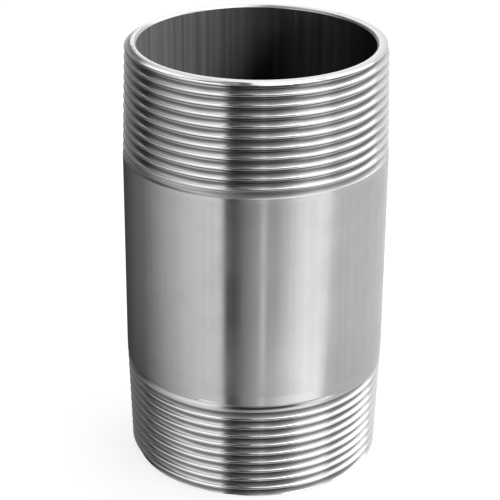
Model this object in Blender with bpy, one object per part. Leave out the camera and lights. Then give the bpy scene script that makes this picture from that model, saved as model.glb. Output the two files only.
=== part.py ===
"""Pipe nipple: a short length of steel pipe, open right through, with a taper thread cut on each end.

Metres, +Z up along the pipe. The origin is the centre of the lower end face, so it stands on z = 0.
"""

import math

import bmesh
import bpy

MM = 0.001
INCH = 25.4 * MM

# Pipe: 2 inch nominal, ordinary series
PIPE_DIAMETER = 60.3 * MM
WALL = 3.6 * MM
LENGTH = 100.0 * MM

# Thread: right-hand taper pipe thread of the rounded 55 degree form, the same on both ends
THREADS_PER_INCH = 11
FLANK_HALF_ANGLE = math.radians(27.5)
DIAMETER_TAPER = 1 / 16
GAUGE_DISTANCE = 15.9 * MM  # from the end face to the plane where the thread has its nominal size
GAUGE_UNDERSIZE = 0.69 * MM  # what the crests are under the pipe's diameter there
LOWER_FULL_THREAD = 22.2 * MM  # from each end face to where the die begins to draw back out of the pipe
UPPER_FULL_THREAD = 24.2 * MM
WASHOUT = 2.2 * MM  # length over which it draws back
LOWER_START_DEGREES = 112.0  # where round the pipe each groove's middle crosses its end face,
UPPER_START_DEGREES = 204.0  # counted from +X towards +Y, and seen from that end

# Edges of the end faces, both at 45 degrees
END_CHAMFER = 0.5 * MM
BORE_CHAMFER = 0.5 * MM

# Faces
SEGMENTS = 56
OVERCUT = 0.15 * MM  # how far the thread cutter stands out past the crests
SLIVER = 0.02 * MM  # corners closer than this are merged after the cuts

PITCH = INCH / THREADS_PER_INCH
SHARP_DEPTH = PITCH / 2 / math.tan(FLANK_HALF_ANGLE)  # of the flanks carried on to points
THREAD_DEPTH = SHARP_DEPTH * 2 / 3  # a sixth is rounded off at the crest and another at the root
ROOT_WIDTH = PITCH / 6
CLEAR_RISE = THREAD_DEPTH + OVERCUT / 2  # of a root that has left the pipe
pipe_radius = PIPE_DIAMETER / 2
bore_radius = pipe_radius - WALL
gauge_radius = (PIPE_DIAMETER - GAUGE_UNDERSIZE) / 2


def crest_radius(height):
    """Radius of the cone that the crests lie on, at a height above the end face."""
    return gauge_radius + (height - GAUGE_DISTANCE) * DIAMETER_TAPER / 2


def new_object(name, bm, material=None):
    """Link a new object that holds this bmesh, and free the bmesh."""
    mesh = bpy.data.meshes.new(name)
    bm.to_mesh(mesh)
    bm.free()
    if material:
        mesh.materials.append(material)
    obj = bpy.data.objects.new(name, mesh)
    bpy.context.scene.collection.objects.link(obj)
    return obj


def steel():
    """Bright stainless steel, turned and drawn."""
    material = bpy.data.materials.new("bright_steel")
    material.use_nodes = True
    shader = material.node_tree.nodes["Principled BSDF"]
    shader.inputs["Base Color"].default_value = (0.62, 0.62, 0.61, 1.0)
    shader.inputs["Metallic"].default_value = 1.0
    shader.inputs["Roughness"].default_value = 0.24
    return material


def end_profile():
    """One end of the wall as (radius, height), from the bore round the end face to the plain pipe."""
    taper_end = GAUGE_DISTANCE + GAUGE_UNDERSIZE / DIAMETER_TAPER
    return [
        (bore_radius, BORE_CHAMFER),
        (bore_radius + BORE_CHAMFER, 0.0),
        (crest_radius(0.0) - END_CHAMFER, 0.0),
        (crest_radius(END_CHAMFER), END_CHAMFER),
        (pipe_radius, taper_end),
    ]


def blank(material):
    """The pipe before threading: cut to length, both ends turned to the thread's taper and chamfered."""
    lower = end_profile()
    upper = [(radius, LENGTH - height) for radius, height in reversed(lower)]
    bm = bmesh.new()
    corners = [bm.verts.new((radius, 0.0, height)) for radius, height in lower + upper]
    section = [bm.edges.new((a, b)) for a, b in zip(corners, corners[1:] + corners[:1])]
    bmesh.ops.spin(
        bm,
        geom=corners + section,
        cent=(0, 0, 0),
        axis=(0, 0, 1),
        angle=math.tau,
        steps=SEGMENTS,
        use_merge=True,
    )
    bmesh.ops.recalc_face_normals(bm, faces=bm.faces)
    return new_object("pipe_nipple", bm, material)


def groove_section(height, full_thread):
    """Corners of the thread cutter as (radius, height), where the groove's middle is at this height.

    The flanks run on past the crests, into the air. Past the full thread the whole section
    draws back out of the pipe, so the groove grows shallower and narrower until it ends.
    """
    drawn_back = min(max((height - full_thread) / WASHOUT, 0.0), 1.0) * CLEAR_RISE
    root_radius = crest_radius(height) - THREAD_DEPTH + drawn_back
    mouth_radius = crest_radius(height) + OVERCUT + drawn_back
    mouth_reach = ROOT_WIDTH / 2 + (THREAD_DEPTH + OVERCUT) * math.tan(FLANK_HALF_ANGLE)
    return [
        (mouth_radius, height - mouth_reach),
        (root_radius, height - ROOT_WIDTH / 2),
        (root_radius, height + ROOT_WIDTH / 2),
        (mouth_radius, height + mouth_reach),
    ]


def thread_cutter(name, start_degrees, full_thread):
    """A closed helical bar of the groove's section, from below the end face to the end of the washout."""
    start_turn = start_degrees / 360
    first = math.floor((start_turn - 1) * SEGMENTS)  # a turn early, where the bar is all in the air
    last = math.ceil((start_turn + (full_thread + WASHOUT) / PITCH) * SEGMENTS)
    bm = bmesh.new()
    rings = []
    for step in range(first, last + 1):
        turn = step / SEGMENTS
        angle = turn * math.tau
        section = groove_section((turn - start_turn) * PITCH, full_thread)
        rings.append([bm.verts.new((r * math.cos(angle), r * math.sin(angle), z)) for r, z in section])
    for ring, following in zip(rings, rings[1:]):
        for i, corner in enumerate(ring):
            j = (i + 1) % len(ring)
            bm.faces.new((corner, ring[j], following[j], following[i]))
    bm.faces.new(rings[0])
    bm.faces.new(reversed(rings[-1]))
    bmesh.ops.triangulate(bm, faces=bm.faces)
    bmesh.ops.recalc_face_normals(bm, faces=bm.faces)
    cutter = new_object(name, bm)
    cutter.hide_render = True
    cutter.display_type = "WIRE"
    return cutter


def cut(obj, cutters):
    """Take the cutters' shapes out of the object, all in one Boolean so that no edge is cut twice."""
    group = bpy.data.collections.new("thread_cutters")
    for cutter in cutters:
        group.objects.link(cutter)
    modifier = obj.modifiers.new("threads", "BOOLEAN")
    modifier.operation = "DIFFERENCE"
    modifier.solver = "EXACT"
    modifier.operand_type = "COLLECTION"
    modifier.collection = group


def main():
    for obj in list(bpy.data.objects):
        bpy.data.objects.remove(obj, do_unlink=True)

    nipple = blank(steel())
    lower = thread_cutter("lower_thread_cutter", LOWER_START_DEGREES, LOWER_FULL_THREAD)
    upper = thread_cutter("upper_thread_cutter", UPPER_START_DEGREES, UPPER_FULL_THREAD)
    upper.rotation_euler.x = math.pi  # turned end for end, which keeps the thread right-handed
    upper.location.z = LENGTH
    cut(nipple, [lower, upper])

    weld = nipple.modifiers.new("close_slivers", "WELD")
    weld.merge_threshold = SLIVER
    tidy = nipple.modifiers.new("merge_flat_faces", "DECIMATE")
    tidy.decimate_type = "DISSOLVE"
    tidy.angle_limit = math.radians(0.4)

    nipple.data.shade_smooth()
    nipple.data.set_sharp_from_angle(angle=math.radians(20))


main()
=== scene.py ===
import math

import bmesh
import bpy
from mathutils import Matrix, Quaternion, Vector


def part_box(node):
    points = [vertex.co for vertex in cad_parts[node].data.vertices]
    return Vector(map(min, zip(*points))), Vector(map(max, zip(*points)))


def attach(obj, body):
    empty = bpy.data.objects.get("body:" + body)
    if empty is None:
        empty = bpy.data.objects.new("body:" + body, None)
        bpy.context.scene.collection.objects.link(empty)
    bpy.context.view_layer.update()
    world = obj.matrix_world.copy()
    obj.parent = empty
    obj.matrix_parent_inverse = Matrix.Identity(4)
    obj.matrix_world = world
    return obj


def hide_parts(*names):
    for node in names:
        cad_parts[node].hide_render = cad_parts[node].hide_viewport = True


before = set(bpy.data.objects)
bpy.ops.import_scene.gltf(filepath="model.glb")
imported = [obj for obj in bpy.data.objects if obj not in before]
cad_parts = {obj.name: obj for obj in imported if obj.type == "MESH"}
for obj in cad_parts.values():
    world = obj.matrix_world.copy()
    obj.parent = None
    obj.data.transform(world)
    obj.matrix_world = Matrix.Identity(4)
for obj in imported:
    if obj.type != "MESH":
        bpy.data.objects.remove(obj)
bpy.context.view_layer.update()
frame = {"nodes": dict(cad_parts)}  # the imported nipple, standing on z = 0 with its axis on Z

mm = 0.001
lowCorner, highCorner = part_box("pipe_nipple")
print("frame loaded:", ", ".join(frame["nodes"]))

pipe = {
    "radius": (highCorner[0] - lowCorner[0]) / 2,
    "length": highCorner[2] - lowCorner[2],
    "wall": 3.6 * mm,
    "boreChamfer": 0.5 * mm,
    "boreEdge": 0.08 * mm,  # what deburring takes off the bore's corners
    "segments": 200,
    "weld": 0.01 * mm,  # corners closer than this are one
}
boreRadius = pipe["radius"] - pipe["wall"]
drawnSlot, cutSlot, facedSlot, boreSlot = range(4)  # material slots

thread = {
    "pitch": 25.4 * mm / 11,
    "flank": math.radians(27.5),  # half of the rounded 55 degree form
    "taper": 1 / 32,  # on the radius
    "gaugeDistance": 15.9 * mm,
    "gaugeUndersize": 0.345 * mm,  # of the crests under the pipe's radius there
    "washout": 2.2 * mm,  # past the full thread, where the die draws back out of the pipe
    "endChamfer": 0.5 * mm,
    "endRound": 0.15 * mm,  # radius of the corner between the chamfer and the end face
    "crestRounding": 0.95,  # share of the crest's width that is rounded over
    "crestSteps": 3,
    "rootRounding": 0.98,
    "rootSteps": 4,
    "rimRows": 6,  # extra rows of points that carry the chamfer, closest together at the end face
    "rimReach": 1.1,  # how far in they go, in chamfers
    # degrees round each end face to where the groove's middle crosses it, and the length of full thread
    "lower": {"start": 112.0, "full": 22.2 * mm},
    "upper": {"start": 204.0, "full": 24.2 * mm},
}
threadDepth = thread["pitch"] / 3 / math.tan(thread["flank"])
plainStart = thread["upper"]["full"] + thread["washout"] + 0.2 * mm


def crestRadius(z):
    gaugeRadius = pipe["radius"] - thread["gaugeUndersize"]
    return min(pipe["radius"], gaugeRadius + (z - thread["gaugeDistance"]) * thread["taper"])


def drawnBack(z, full):  # how far the die has drawn back out of the pipe at this height
    return threadDepth * min(max((z - full) / thread["washout"], 0.0), 1.0)


def chamferRadius(z):
    corner = crestRadius(0) - thread["endChamfer"]
    rounding = thread["endRound"]
    tangent = rounding * math.tan(math.pi / 8)
    if z > tangent * math.sin(math.pi / 4):
        return corner + z
    return corner - tangent + math.sqrt(max(rounding**2 - (rounding - z) ** 2, 0.0))


def cutAcross(bm, z, below=False, above=False):
    made = bmesh.ops.bisect_plane(
        bm,
        geom=bm.verts[:] + bm.edges[:] + bm.faces[:],
        dist=pipe["weld"],
        plane_co=(0, 0, z),
        plane_no=(0, 0, 1),
        clear_inner=below,
        clear_outer=above,
    )
    for part in made["geom_cut"]:
        if isinstance(part, bmesh.types.BMVert):
            part.co.z = z


def rimEdges(bm, z):  # the open loop at this height
    return [e for e in bm.edges if e.is_boundary and all(abs(v.co.z - z) < 0.001 * mm for v in e.verts)]


def evenRim(bm, z):  # drops the corners that the slanting rows leave between the rings
    step = math.tau / pipe["segments"]
    odd = set()
    for edge in rimEdges(bm, z):
        for v in edge.verts:
            place = math.atan2(v.co.y, v.co.x) / step  # a whole number on a ring
            if abs(place - round(place)) > 0.001:
                odd.add(v)
    bmesh.ops.dissolve_verts(bm, verts=list(odd))


def threadedSkin(end):
    # outer surface of one end, from the end face at z = 0 up to the plain pipe
    bm = bmesh.new()
    pitch = thread["pitch"]
    bottom = -pitch * (end["start"] / 360 + 1.5)  # so the second turn's groove crosses z = 0 at its start
    # one groove between two half crests, as shares of the pitch and depths
    half = pitch / 12
    places = [0, 1 / 12, 5 / 12, 7 / 12, 11 / 12, 1]
    depths = [0, 0, threadDepth, threadDepth, 0, 0]
    corners = [bm.verts.new((pipe["radius"] - d, 0, bottom + pitch * p)) for p, d in zip(places, depths)]
    for a, b in zip(corners, corners[1:]):
        bm.edges.new((a, b))
    for pair, share, steps in (
        ((corners[1], corners[4]), thread["crestRounding"], thread["crestSteps"]),
        ((corners[2], corners[3]), thread["rootRounding"], thread["rootSteps"]),
    ):
        bmesh.ops.bevel(
            bm,
            geom=list(pair),
            offset=half * share,
            segments=steps,
            profile=0.5,
            affect="VERTICES",
            material=-1,
        )
    bmesh.ops.spin(
        bm,
        geom=bm.verts[:] + bm.edges[:],
        cent=(0, 0, 0),
        axis=(0, 0, 1),
        dvec=(0, 0, pitch / pipe["segments"]),
        angle=math.tau,
        steps=pipe["segments"],
        use_merge=False,
        use_duplicate=False,
    )
    oneTurn = bm.verts[:] + bm.edges[:] + bm.faces[:]
    for turn in range(1, math.ceil((plainStart - bottom) / pitch) + 1):
        copied = bmesh.ops.duplicate(bm, geom=oneTurn)["geom"]
        raised = [v for v in copied if isinstance(v, bmesh.types.BMVert)]
        bmesh.ops.translate(bm, verts=raised, vec=(0, 0, pitch * turn))
    bmesh.ops.remove_doubles(bm, verts=bm.verts, dist=pipe["weld"])
    cutAcross(bm, 0.0, below=True)
    cutAcross(bm, plainStart, above=True)
    for row in range(1, thread["rimRows"] + 1):
        cutAcross(bm, thread["rimReach"] * thread["endChamfer"] * (row / thread["rimRows"]) ** 2)
    # straight and full so far: give it the taper, the washout and the chamfer
    for v in bm.verts:
        reach = v.co.xy.length
        depth = max(pipe["radius"] - reach - drawnBack(v.co.z, end["full"]), 0.0)
        v.co.xy *= min(crestRadius(v.co.z) - depth, chamferRadius(v.co.z)) / reach
    bmesh.ops.remove_doubles(bm, verts=bm.verts, dist=pipe["weld"] / 2)
    evenRim(bm, 0.0)
    evenRim(bm, plainStart)
    return bm


def carryIn(bm, loop, radius, z, slot):  # carries an open loop on to this radius and height
    made = bmesh.ops.extrude_edge_only(bm, edges=loop)["geom"]
    for part in made:
        if isinstance(part, bmesh.types.BMVert):
            part.co.xy *= radius / part.co.xy.length
            part.co.z = z
        if isinstance(part, bmesh.types.BMFace):
            part.material_index = slot
    return [part for part in made if isinstance(part, bmesh.types.BMEdge) and part.is_boundary]


def buildPipe():
    bm = threadedSkin(thread["lower"])
    other = threadedSkin(thread["upper"])
    upper = bpy.data.meshes.new("upperSkin")
    other.to_mesh(upper)
    other.free()
    turnOver = Matrix.Translation((0, 0, pipe["length"])) @ Matrix.Rotation(math.pi, 4, "X")
    upper.transform(turnOver)
    bm.from_mesh(upper)
    bpy.data.meshes.remove(upper)
    for face in bm.faces:
        face.material_index = cutSlot

    top = pipe["length"]
    middle = bmesh.ops.bridge_loops(bm, edges=rimEdges(bm, plainStart) + rimEdges(bm, top - plainStart))
    for face in middle["faces"]:
        face.material_index = drawnSlot

    bores, corners = [], []
    for z, inwards in ((0.0, 1), (top, -1)):
        mouth = carryIn(bm, rimEdges(bm, z), boreRadius + pipe["boreChamfer"], z, facedSlot)
        bore = carryIn(bm, mouth, boreRadius, z + inwards * pipe["boreChamfer"], facedSlot)
        bores += bore
        corners += mouth + bore
    for face in bmesh.ops.bridge_loops(bm, edges=bores)["faces"]:
        face.material_index = boreSlot
    bmesh.ops.recalc_face_normals(bm, faces=bm.faces)
    bmesh.ops.bevel(
        bm,
        geom=corners,
        offset=pipe["boreEdge"],
        segments=2,
        profile=0.5,
        affect="EDGES",
        material=-1,
    )
    mesh = bpy.data.meshes.new("threadedPipe")
    bm.to_mesh(mesh)
    bm.free()
    mesh.shade_smooth()
    mesh.set_sharp_from_angle(angle=math.radians(40))
    piece = bpy.data.objects.new("threadedPipe", mesh)
    bpy.context.scene.collection.objects.link(piece)
    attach(piece, "root")
    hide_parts("pipe_nipple")
    return piece


threadedPipe = buildPipe()
threadedPipe.data.calc_loop_triangles()
print("pipe modelled:", len(threadedPipe.data.loop_triangles), "triangles")


def link(tree, value, socket):
    if isinstance(value, bpy.types.NodeSocket):
        tree.links.new(value, socket)
    else:
        socket.default_value = value


def calc(tree, operation, *values):
    node = tree.nodes.new("ShaderNodeMath")
    node.operation = operation
    for value, socket in zip(values, node.inputs):
        link(tree, value, socket)
    return node.outputs[0]


def remap(tree, value, low, high, toLow=0.0, toHigh=1.0, smooth=False):
    node = tree.nodes.new("ShaderNodeMapRange")
    node.interpolation_type = "SMOOTHSTEP" if smooth else "LINEAR"
    for given, socket in zip((value, low, high, toLow, toHigh), node.inputs):
        link(tree, given, socket)
    return node.outputs["Result"]


def newGroup(name, takes, gives):
    group = bpy.data.node_groups.new(name, "ShaderNodeTree")
    for titles, side in ((takes, "INPUT"), (gives, "OUTPUT")):
        for title in titles:
            group.interface.new_socket(name=title, in_out=side, socket_type="NodeSocketFloat")
    return group, group.nodes.new("NodeGroupInput").outputs, group.nodes.new("NodeGroupOutput").inputs


def placeGroup(tree, group, **values):
    node = tree.nodes.new("ShaderNodeGroup")
    node.node_tree = group
    for title, value in values.items():
        link(tree, value, node.inputs[title])
    return node.outputs


def noise(tree, place, scale, detail=2.0):
    node = tree.nodes.new("ShaderNodeTexNoise")
    node.inputs["Scale"].default_value = scale
    node.inputs["Detail"].default_value = detail
    tree.links.new(place, node.inputs["Vector"])
    return node.outputs["Fac"]


def vector(tree, *parts):
    node = tree.nodes.new("ShaderNodeCombineXYZ")
    for part, socket in zip(parts, node.inputs):
        link(tree, part, socket)
    return node.outputs[0]


def pipePlaceGroup():
    # where a point lies on the pipe: round it, out from its axis, and in from the nearer end face
    group, _, out = newGroup("pipePlace", [], ["east", "north", "reach", "height", "inwards"])
    parts = group.nodes.new("ShaderNodeSeparateXYZ")
    group.links.new(group.nodes.new("ShaderNodeTexCoord").outputs["Object"], parts.inputs[0])
    x, y, z = parts.outputs
    squares = calc(group, "ADD", calc(group, "MULTIPLY", x, x), calc(group, "MULTIPLY", y, y))
    reach = calc(group, "SQRT", squares)
    inwards = calc(group, "MINIMUM", z, calc(group, "SUBTRACT", pipe["length"], z))
    east = calc(group, "DIVIDE", x, reach)
    north = calc(group, "DIVIDE", y, reach)
    for title, value in dict(east=east, north=north, reach=reach, height=z, inwards=inwards).items():
        group.links.new(value, out[title])
    return group


def grooveGroup():
    # 0 on the thread's crests and 1 at its roots, whatever the taper
    group, given, out = newGroup("grooveDepth", ["reach", "inwards"], ["depth"])
    gaugeRadius = pipe["radius"] - thread["gaugeUndersize"]
    past = calc(group, "SUBTRACT", given["inwards"], thread["gaugeDistance"])
    cone = calc(group, "MULTIPLY_ADD", past, thread["taper"], gaugeRadius)
    under = calc(group, "SUBTRACT", calc(group, "MINIMUM", cone, pipe["radius"]), given["reach"])
    group.links.new(calc(group, "DIVIDE", under, threadDepth), out["depth"])
    return group


def streakGroup():
    # fine lines drawn out along the pipe, or round it, round about 0
    group, given, out = newGroup("streaks", ["east", "north", "along", "fine", "stretch"], ["lines"])
    place = vector(
        group,
        calc(group, "MULTIPLY", given["east"], given["fine"]),
        calc(group, "MULTIPLY", given["north"], given["fine"]),
        calc(group, "MULTIPLY", given["along"], given["stretch"]),
    )
    group.links.new(calc(group, "SUBTRACT", noise(group, place, 1.0, 3.0), 0.5), out["lines"])
    return group


# streak, patch, smudge, marks and torn say how strongly each shows, and so does the wobble at the edge of the
# thread's darker roots. A range is what the noise is cut to
finish = {
    "drawn": {
        "grey": 0.63, "roughness": 0.14, "stretch": 34.0,
        "streak": 0.1, "streakRoughness": 0.06,
        "patch": 0.08, "patchScale": 1.6, "patchRange": (0.35, 0.7),
        "toneRange": (0.3, 0.7), "tone": (0.96, 1.03),
        "smudge": 0.03, "smudgeScale": 3.4, "smudgeRange": (0.42, 0.7),
    },
    "cut": {
        "crest": 0.92, "crestRoughness": 0.09,
        "root": 0.42, "rootRoughness": 0.2,
        "rootWobble": 0.5, "rootWobbleScale": 3.0, "rootWobbleRange": (0.08, 0.8), "stretch": 60.0,
        "marks": 0.05, "marksRoughness": 0.1,
        "fade": (-0.6, 0.8),  # where it turns into drawn steel, in washouts past the full thread
        "torn": 0.9, "wornRoughness": 0.03,
    },
    "faced": {"grey": 0.7, "roughness": 0.24, "marks": 0.12, "bump": 0.006 * mm},
    "bore": {
        # the bore's grey is a painted shade, far darker than the steel, for the shade inside the pipe
        "grey": 0.06, "metallic": 0.92, "roughness": 0.25,
        "streak": 0.08, "streakRoughness": 0.2, "bump": 0.02 * mm,
    },
}
steelWarmth = 0.992  # of blue against red and green
pipePlace = pipePlaceGroup()
grooveDepth = grooveGroup()
streaks = streakGroup()


def newSteel(name):
    material = bpy.data.materials.new(name)
    material.use_nodes = True
    tree = material.node_tree
    shader = tree.nodes["Principled BSDF"]
    shader.inputs["Metallic"].default_value = 1
    return material, tree, shader, placeGroup(tree, pipePlace)


def steelColour(tree, value, shader):
    mix = tree.nodes.new("ShaderNodeCombineColor")
    for factor, socket in zip((1.0, 1.0, steelWarmth), mix.inputs):
        tree.links.new(calc(tree, "MULTIPLY", value, factor), socket)
    tree.links.new(mix.outputs[0], shader.inputs["Base Color"])


def bump(tree, height, shader, distance):
    node = tree.nodes.new("ShaderNodeBump")
    node.inputs["Strength"].default_value = 1
    node.inputs["Distance"].default_value = distance
    tree.links.new(height, node.inputs["Height"])
    tree.links.new(node.outputs[0], shader.inputs["Normal"])


def overSkin(tree, at, stretch):
    # a place for noise on the pipe's surface. Its blots are about round at a stretch of 34, and flatter above
    return vector(tree, at["east"], at["north"], calc(tree, "MULTIPLY", at["height"], stretch))


def drawnSteel():
    # the plain middle, bright from drawing, with faint lines along it, wiped patches and a few smudges
    look = finish["drawn"]
    material, tree, shader, at = newSteel("drawnSteel")
    lines = placeGroup(tree, streaks, east=at["east"], north=at["north"], along=at["height"], fine=26.0, stretch=5.0)
    skin = overSkin(tree, at, look["stretch"])
    patches = noise(tree, skin, look["patchScale"])
    smudges = remap(tree, noise(tree, skin, look["smudgeScale"], 3.0), *look["smudgeRange"], smooth=True)
    grey = calc(tree, "MULTIPLY_ADD", lines["lines"], look["streak"], look["grey"])
    grey = calc(tree, "MULTIPLY_ADD", smudges, -look["smudge"], grey)
    tone = remap(tree, patches, *look["toneRange"], *look["tone"], smooth=True)
    steelColour(tree, calc(tree, "MULTIPLY", grey, tone), shader)
    rougher = look["roughness"] + look["patch"]
    rough = remap(tree, patches, *look["patchRange"], look["roughness"], rougher, smooth=True)
    rough = calc(tree, "MULTIPLY_ADD", smudges, look["smudge"], rough)
    rough = calc(tree, "MULTIPLY_ADD", lines["lines"], look["streakRoughness"], rough)
    link(tree, rough, shader.inputs["Roughness"])
    return material


def cutSteel():
    # the threads: brighter on the crests, which the die burnished smoother, and darker towards the roots, which it
    # tore a little rougher
    look = finish["cut"]
    material, tree, shader, at = newSteel("cutSteel")
    depth = placeGroup(tree, grooveDepth, reach=at["reach"], inwards=at["inwards"])["depth"]
    rootWobble = noise(tree, overSkin(tree, at, look["stretch"]), look["rootWobbleScale"])
    wobbledDepth = calc(tree, "MULTIPLY_ADD", calc(tree, "SUBTRACT", rootWobble, 0.5), look["rootWobble"], depth)
    inGroove = remap(tree, wobbledDepth, *look["rootWobbleRange"], smooth=True)
    marks = placeGroup(tree, streaks, east=at["east"], north=at["north"], along=at["reach"], fine=2.5, stretch=9000.0)
    grey = remap(tree, inGroove, 0.0, 1.0, look["crest"], look["root"])
    grey = calc(tree, "MULTIPLY_ADD", marks["lines"], look["marks"], grey)
    rough = remap(tree, inGroove, 0.0, 1.0, look["crestRoughness"], look["rootRoughness"])
    rough = calc(tree, "MULTIPLY_ADD", marks["lines"], look["marksRoughness"], rough)
    # in the washout the cut runs out into the drawn pipe, torn a little rougher where the die leaves it
    upperEnd = calc(tree, "GREATER_THAN", at["height"], pipe["length"] / 2)
    full = remap(tree, upperEnd, 0.0, 1.0, thread["lower"]["full"], thread["upper"]["full"])
    past = calc(tree, "DIVIDE", calc(tree, "SUBTRACT", at["inwards"], full), thread["washout"])
    faded = remap(tree, past, *look["fade"], smooth=True)
    steelColour(tree, remap(tree, faded, 0.0, 1.0, grey, finish["drawn"]["grey"]), shader)
    rough = remap(tree, faded, 0.0, 1.0, rough, finish["drawn"]["roughness"] + look["wornRoughness"])
    torn = calc(tree, "MULTIPLY", faded, calc(tree, "SUBTRACT", 1.0, faded))
    link(tree, calc(tree, "MULTIPLY_ADD", torn, look["torn"], rough), shader.inputs["Roughness"])
    return material


def facedSteel():
    # end faces and chamfers, faced off with fine rings
    look = finish["faced"]
    material, tree, shader, at = newSteel("facedSteel")
    rings = placeGroup(
        tree, streaks, east=at["east"], north=at["north"], along=at["reach"], fine=0.6, stretch=11000.0
    )
    steelColour(tree, calc(tree, "MULTIPLY_ADD", rings["lines"], look["marks"], look["grey"]), shader)
    rough = calc(tree, "MULTIPLY_ADD", rings["lines"], look["marks"], look["roughness"])
    link(tree, rough, shader.inputs["Roughness"])
    bump(tree, rings["lines"], shader, look["bump"])
    return material


def boreSteel():
    # the bore, dull and streaked along its length as the mill left it, its steel painted very dark: a painted shade
    # for the inside of the pipe
    look = finish["bore"]
    material, tree, shader, at = newSteel("boreSteel")
    shader.inputs["Metallic"].default_value = look["metallic"]
    lines = placeGroup(tree, streaks, east=at["east"], north=at["north"], along=at["height"], fine=22.0, stretch=9.0)
    steelColour(tree, calc(tree, "MULTIPLY_ADD", lines["lines"], look["streak"], look["grey"]), shader)
    rough = calc(tree, "MULTIPLY_ADD", lines["lines"], look["streakRoughness"], look["roughness"])
    link(tree, rough, shader.inputs["Roughness"])
    bump(tree, lines["lines"], shader, look["bump"])
    return material


for finished in (drawnSteel(), cutSteel(), facedSteel(), boreSteel()):
    threadedPipe.data.materials.append(finished)
print("steel finished")

# the photo's camera, from the middle of the pipe
view = {
    "distance": 396.7 * mm,
    "elevation": math.radians(24.54),
    "aim": Vector((-1.14 * mm, 0, -1.07 * mm)),
    "roll": math.radians(0.43),
    "lens": 122.6,
}


def placeCamera():
    middle = Vector((0, 0, pipe["length"] / 2))
    back = Vector((0, -math.cos(view["elevation"]), math.sin(view["elevation"])))
    eye = middle + back * view["distance"]
    data = bpy.data.cameras.new("camera")
    data.lens = view["lens"]
    data.clip_start = 10 * mm
    camera = bpy.data.objects.new("camera", data)
    camera.location = eye
    camera.rotation_mode = "QUATERNION"
    towards = (middle + view["aim"] - eye).to_track_quat("-Z", "Y")
    camera.rotation_quaternion = towards @ Quaternion((0, 0, 1), view["roll"])
    bpy.context.scene.collection.objects.link(camera)
    bpy.context.scene.camera = camera


placeCamera()
print("camera placed")

floor = {"size": 6.0, "grey": 0.4, "glow": 0.72}
# the spot's glow is painted light on the shaded floor inside the foot
spot = {"radius": boreRadius + 0.3 * mm, "lift": 0.02 * mm, "segments": 48, "grey": 0.8, "glow": 0.25}


def layStage(name, bm, look):
    mesh = bpy.data.meshes.new(name)
    bm.to_mesh(mesh)
    bm.free()
    laid = bpy.data.objects.new(name, mesh)
    bpy.context.scene.collection.objects.link(laid)
    material = bpy.data.materials.new(name)
    material.use_nodes = True
    shader = material.node_tree.nodes["Principled BSDF"]
    shader.inputs["Base Color"].default_value = (look["grey"], look["grey"], look["grey"], 1)
    shader.inputs["Roughness"].default_value = 0.9
    shader.inputs["Emission Color"].default_value = (1, 1, 1, 1)
    shader.inputs["Emission Strength"].default_value = look["glow"]
    mesh.materials.append(material)
    return laid


def layFloor():
    bm = bmesh.new()
    bmesh.ops.create_grid(bm, x_segments=1, y_segments=1, size=floor["size"] / 2)
    layStage("floor", bm, floor).visible_glossy = False

    # the bit of floor inside the foot, which the bore does reflect. Its glow is painted light on floor that the pipe
    # shades, weaker than the floor's glow round it
    bm = bmesh.new()
    bmesh.ops.create_circle(bm, segments=spot["segments"], radius=spot["radius"], cap_ends=True)
    bmesh.ops.translate(bm, verts=bm.verts, vec=(0, 0, spot["lift"]))
    layStage("standingSpot", bm, spot)


layFloor()


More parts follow.
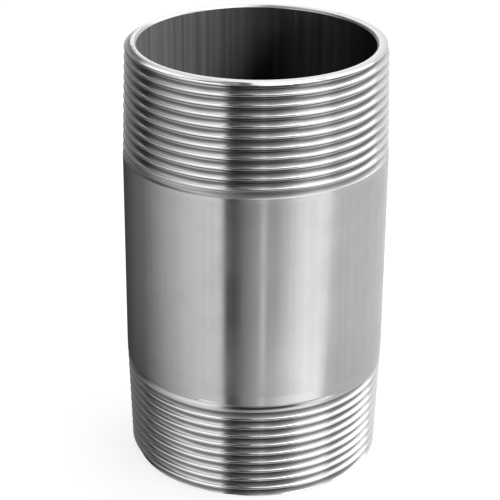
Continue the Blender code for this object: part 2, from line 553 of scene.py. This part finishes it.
# The light tent round the pipe. A wall's glow is a list of (degrees right of the camera, glow), and its
# edges are degrees above level. The ceiling's glow goes by degrees right of overhead, and its edges by
# degrees from the camera's side up and over. Each edge is softened over its own width
lightTent = {
    "footWall": {
        "from": -62, "to": -42, "edge": 6,
        "glow": [
            (-180, 0.1), (-110, 0.25), (-58, 1.3), (-28, 1.3), (-25.5, 0.02), (5, 0.22), (18, 0.5), (34, 0.55),
            (60, 0.6), (90, 0.7), (180, 0.6),
        ],
    },
    "kneeWall": {
        "from": -42, "to": -29, "edge": 6,
        "glow": [
            (-180, 0.05), (-120, 0.08), (-98, 0.25), (-50, 0.75), (-28, 0.82), (-25.5, 0.02), (-13, 0.14),
            (-11, 0.28), (5, 0.5), (7.5, 1.1), (10, 0.5), (28, 1.0), (45, 1.35), (60, 1.35), (68, 0.65),
            (180, 0.65),
        ],
    },
    "lowWall": {
        "from": -29, "to": -12, "edge": 6,
        "glow": [
            (-180, 0.05), (-150, 0.06), (-110, 0.19), (-58, 0.78), (-28, 0.92), (-25.5, 0.04), (-13, 0.12),
            (-11, 0.24), (5, 0.44), (6.5, 1.0), (8.5, 0.9), (10, 0.42), (20, 0.5), (41, 1.12), (66, 1.18),
            (70, 0.72), (180, 0.78),
        ],
    },
    "highWall": {
        "from": -12, "to": 54, "edge": 6,
        "glow": [
            (-180, 1.3), (-165, 0.5), (-150, 0.2), (-110, 0.02), (-58, 1.1), (-30, 1.2), (-27, 0.0), (34, 0.08),
            (40, 0.8), (66, 1.4), (72, 0.5), (140, 0.8), (165, 0.7), (180, 1.2),
        ],
    },
    "ceilingFront": {
        "from": 54, "to": 86, "edge": 8,
        "glow": [
            (-40, 0.0), (-20, 0.3), (-9.5, 0.3), (-8.5, 0.1), (-3, 0.2), (-2, 1.0), (4, 1.1), (12, 1.7), (24, 2.3),
            (36, 0.4), (55, 0.9),
        ],
    },
    "ceilingTop": {
        "from": 86, "to": 100, "edge": 8,
        "glow": [
            (-50, 0.05), (-36, 0.1), (-24, 0.7), (-14, 0.45), (-9.5, 0.45), (-8.5, 0.0), (-3, 0.0), (-2, 1.4),
            (6, 1.5), (11, 2.3), (20, 2.3), (26, 1.7), (36, 0.6), (55, 0.9),
        ],
    },
    "ceilingBack": {
        "from": 100, "to": 142, "edge": 8,
        "glow": [
            (-50, 0.02), (-36, 0.05), (-30, 0.3), (-26, 1.1), (-9.5, 0.9), (-8.5, 0.0), (-3, 0.0), (-2, 1.15),
            (6, 1.3), (11, 1.75), (18, 2.0), (25, 2.3), (29, 0.95), (36, 0.6), (55, 0.9),
        ],
    },
}
underTent = {"to": -62, "edge": 4, "glow": 0.4}
backgroundGlow = 0.93
boreLamp = {"from": Vector((0.75, -0.05, 0.75)), "size": (0.4, 0.25), "power": 360}


def tentPart(tree, name, panel, sideways, upward):
    ramp = tree.nodes.new("ShaderNodeValToRGB")
    ramp.label = name
    stops = ramp.color_ramp.elements
    stops.remove(stops[1])
    for number, (degrees, glow) in enumerate(panel["glow"]):
        place = degrees / 360 + 0.5
        stop = stops.new(place) if number else stops[0]
        stop.position = place
        stop.color = (glow, glow, glow, 1)
    link(tree, remap(tree, sideways, -180.0, 180.0), ramp.inputs[0])
    soft = panel["edge"] / 2
    above = remap(tree, upward, panel["from"] - soft, panel["from"] + soft, smooth=True)
    below = remap(tree, upward, panel["to"] - soft, panel["to"] + soft, 1.0, 0.0, smooth=True)
    return calc(tree, "MULTIPLY", ramp.outputs["Color"], calc(tree, "MULTIPLY", above, below))


def pitchTent():
    world = bpy.data.worlds.new("studio")
    bpy.context.scene.world = world
    world.use_nodes = True
    tree = world.node_tree
    direction = tree.nodes.new("ShaderNodeSeparateXYZ")
    tree.links.new(tree.nodes.new("ShaderNodeTexCoord").outputs["Generated"], direction.inputs[0])
    x, y, z = direction.outputs
    front = calc(tree, "MULTIPLY", y, -1.0)
    across = calc(tree, "DEGREES", calc(tree, "ARCTAN2", x, front))
    height = calc(tree, "DEGREES", calc(tree, "ARCSINE", z))
    aside = calc(tree, "DEGREES", calc(tree, "ARCSINE", x))
    over = calc(tree, "DEGREES", calc(tree, "ARCTAN2", z, front))
    soft = underTent["edge"] / 2
    lit = remap(tree, height, underTent["to"] - soft, underTent["to"] + soft, underTent["glow"], 0.0)
    for name, panel in lightTent.items():
        sideways, upward = (aside, over) if name.startswith("ceiling") else (across, height)
        lit = calc(tree, "ADD", lit, tentPart(tree, name, panel, sideways, upward))
    tent = tree.nodes["Background"]
    tree.links.new(lit, tent.inputs["Color"])
    plain = tree.nodes.new("ShaderNodeBackground")
    plain.inputs["Color"].default_value = (backgroundGlow, backgroundGlow, backgroundGlow, 1)
    seen = tree.nodes.new("ShaderNodeMixShader")
    tree.links.new(tree.nodes.new("ShaderNodeLightPath").outputs["Is Camera Ray"], seen.inputs["Fac"])
    tree.links.new(tent.outputs[0], seen.inputs[1])
    tree.links.new(plain.outputs[0], seen.inputs[2])
    tree.links.new(seen.outputs[0], tree.nodes["World Output"].inputs["Surface"])
    bpy.context.scene.view_settings.view_transform = "Standard"


def hangBoreLamp():
    # a soft box up on the right that looks down into the bore. The tent has its reflection already
    data = bpy.data.lights.new("boreLamp", "AREA")
    data.shape = "RECTANGLE"
    data.size = boreLamp["size"][0]
    data.size_y = boreLamp["size"][1]
    data.energy = boreLamp["power"]
    lamp = bpy.data.objects.new("boreLamp", data)
    lamp.location = boreLamp["from"]
    lamp.rotation_mode = "QUATERNION"
    lamp.rotation_quaternion = (-boreLamp["from"]).to_track_quat("-Z", "Y")
    lamp.visible_glossy = False
    bpy.context.scene.collection.objects.link(lamp)
    lit = bpy.data.collections.new("litByBoreLamp")
    lit.objects.link(threadedPipe)
    lamp.light_linking.receiver_collection = lit


pitchTent()
hangBoreLamp()
print("floor and light set")
